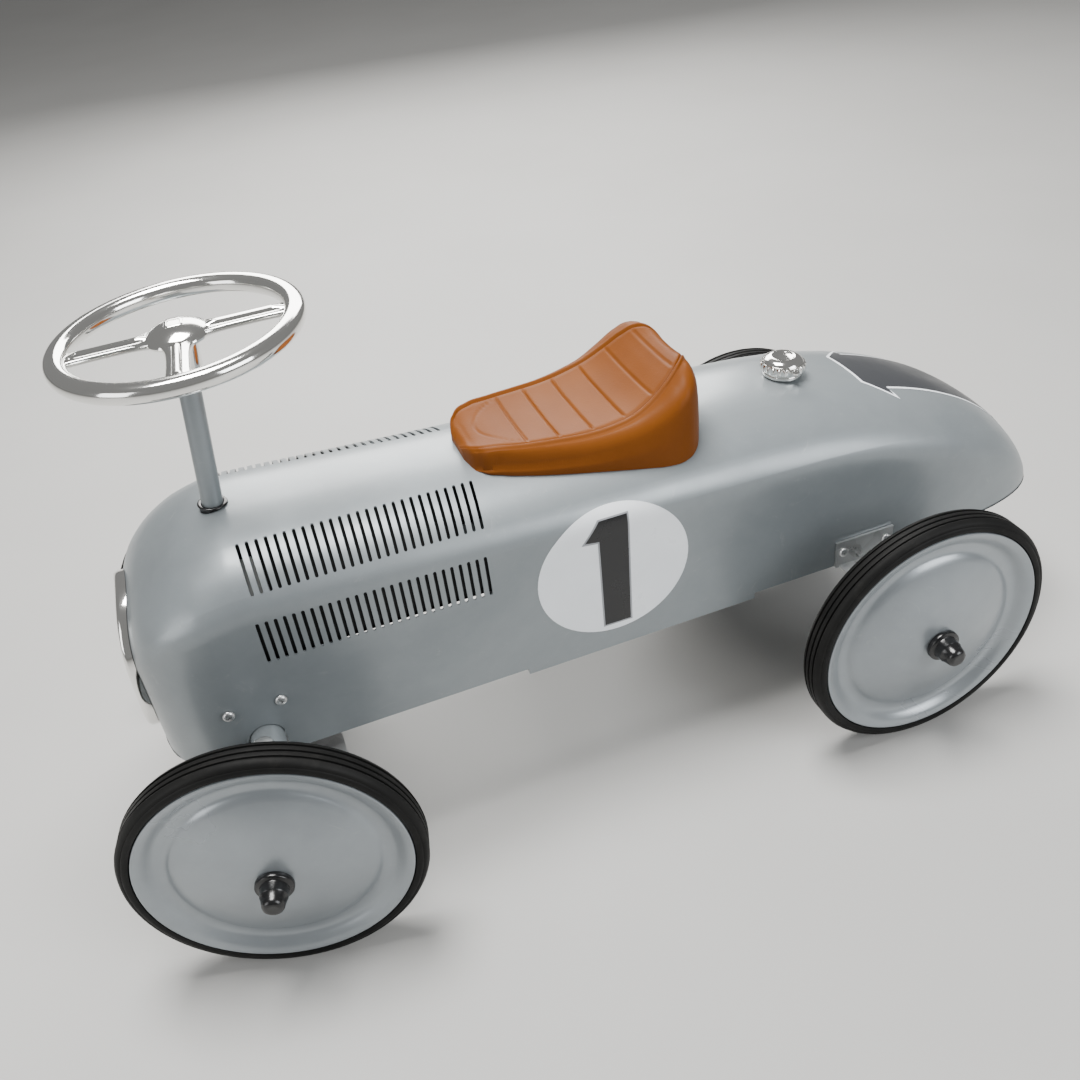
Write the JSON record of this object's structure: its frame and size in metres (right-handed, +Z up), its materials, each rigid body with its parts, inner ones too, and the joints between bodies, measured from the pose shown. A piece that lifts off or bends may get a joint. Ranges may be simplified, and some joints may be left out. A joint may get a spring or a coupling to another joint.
{
  "type": "ride-on racing car",
  "caption": "Metal ride-on racer toy with a pressed body, spoked steering wheel, linked front wheels, dished wheels, padded seat and cooling slots.",
  "frame": {"origin": "on the floor, under the middle of the bounding box", "axes": "+X to the nose, +Y to the car's left, +Z up"},
  "size_m": [0.7599, 0.3734, 0.4092],
  "materials": {
    "grey_paint": "satin grey-blue enamel",
    "chrome": "bright chrome plate",
    "zinc_steel": "bright zinc plate",
    "black_plastic": "satin black",
    "tyre_rubber": "black solid rubber",
    "tan_vinyl": "smooth tan vinyl skin over foam"
  },
  "bodies": {
    "chassis": {"body_shell_side_left": "grey_paint", "body_shell_side_right": "grey_paint", "body_shell_top": "grey_paint", "body_shell_nose": "grey_paint", "body_shell_tail": "grey_paint", "slot_backing_left": "black_plastic", "slot_backing_right": "black_plastic", "belly_pan": "grey_paint", "front_axle_tube": "grey_paint", "seat": "tan_vinyl", "grille_surround": "chrome", "grille_mesh": "black_plastic", "fuel_cap": "chrome", "filler_neck": "chrome", "filler_nut": "zinc_steel", "column_bush": "black_plastic", "seat_bolt_front": "zinc_steel", "seat_bolt_rear": "zinc_steel", "axle_bracket_left": "zinc_steel", "axle_bracket_right": "zinc_steel", "front_screw_left_1": "zinc_steel", "front_screw_left_2": "zinc_steel", "front_screw_right_1": "zinc_steel", "front_screw_right_2": "zinc_steel", "rear_screw_left_1": "zinc_steel", "rear_screw_left_2": "zinc_steel", "rear_screw_right_1": "zinc_steel", "rear_screw_right_2": "zinc_steel", "rear_bracket_left": "zinc_steel", "rear_bracket_right": "zinc_steel", "rear_axle": "zinc_steel", "rear_spacer_left": "black_plastic", "rear_spacer_right": "black_plastic", "hub_cap_rear_left": "black_plastic", "hub_cap_rear_right": "black_plastic"},
    "steering": {"steering_wheel": "chrome", "steering_column": "grey_paint", "column_collar": "zinc_steel", "crank_arm": "zinc_steel"},
    "spindle_left_body": {"spindle_left": "zinc_steel", "kingpin_cap_left": "zinc_steel", "tie_rod_bolt_left": "zinc_steel", "hub_cap_front_left": "black_plastic"},
    "spindle_right_body": {"spindle_right": "zinc_steel", "kingpin_cap_right": "zinc_steel", "tie_rod_bolt_right": "zinc_steel", "hub_cap_front_right": "black_plastic"},
    "tie_rod_body": {"tie_rod": "zinc_steel"},
    "wheel_front_left": {"wheel_disc_front_left": "grey_paint", "tyre_front_left": "tyre_rubber", "wheel_bush_front_left": "black_plastic"},
    "wheel_front_right": {"wheel_disc_front_right": "grey_paint", "tyre_front_right": "tyre_rubber", "wheel_bush_front_right": "black_plastic"},
    "wheel_rear_left": {"wheel_disc_rear_left": "grey_paint", "tyre_rear_left": "tyre_rubber", "wheel_bush_rear_left": "black_plastic"},
    "wheel_rear_right": {"wheel_disc_rear_right": "grey_paint", "tyre_rear_right": "tyre_rubber", "wheel_bush_rear_right": "black_plastic"}
  },
  "joints": [
    {"name": "steering_turn", "type": "hinge", "parent": "chassis", "child": "steering", "pos_m": [0.2554, 0, 0.2818], "axis": [-0.1132, 0, 0.9936], "range_deg": [-10, 35]},
    {"name": "spindle_left_turn", "type": "hinge", "parent": "chassis", "child": "spindle_left_body", "pos_m": [0.269, 0.1113, 0.143], "axis": [0, 0, 1], "range_deg": [-10, 35]},
    {"name": "spindle_right_turn", "type": "hinge", "parent": "chassis", "child": "spindle_right_body", "pos_m": [0.269, -0.1113, 0.143], "axis": [0, 0, 1], "range_deg": [-10, 35]},
    {"name": "tie_rod_pivot", "type": "hinge", "parent": "spindle_left_body", "child": "tie_rod_body", "pos_m": [0.23094, 0.11981, 0.115], "axis": [0, 0, 1], "range_deg": [-35, 10]},
    {"name": "wheel_front_left_spin", "type": "hinge", "parent": "spindle_left_body", "child": "wheel_front_left", "pos_m": [0.28478, 0.1544, 0.099], "axis": [0.2181, 0.9759, 0], "continuous": true},
    {"name": "wheel_front_right_spin", "type": "hinge", "parent": "spindle_right_body", "child": "wheel_front_right", "pos_m": [0.26493, -0.15701, 0.099], "axis": [0.2181, 0.9759, 0], "continuous": true},
    {"name": "wheel_rear_left_spin", "type": "hinge", "parent": "chassis", "child": "wheel_rear_left", "pos_m": [-0.2096, 0.1567, 0.099], "axis": [0, 1, 0], "continuous": true},
    {"name": "wheel_rear_right_spin", "type": "hinge", "parent": "chassis", "child": "wheel_rear_right", "pos_m": [-0.2096, -0.1567, 0.099], "axis": [0, 1, 0], "continuous": true}
  ],
  "couplings": [
    {"joint": "spindle_left_turn", "follows": "steering_turn", "ratio": 1},
    {"joint": "spindle_right_turn", "follows": "steering_turn", "ratio": 1},
    {"joint": "tie_rod_pivot", "follows": "steering_turn", "ratio": -1}
  ]
}
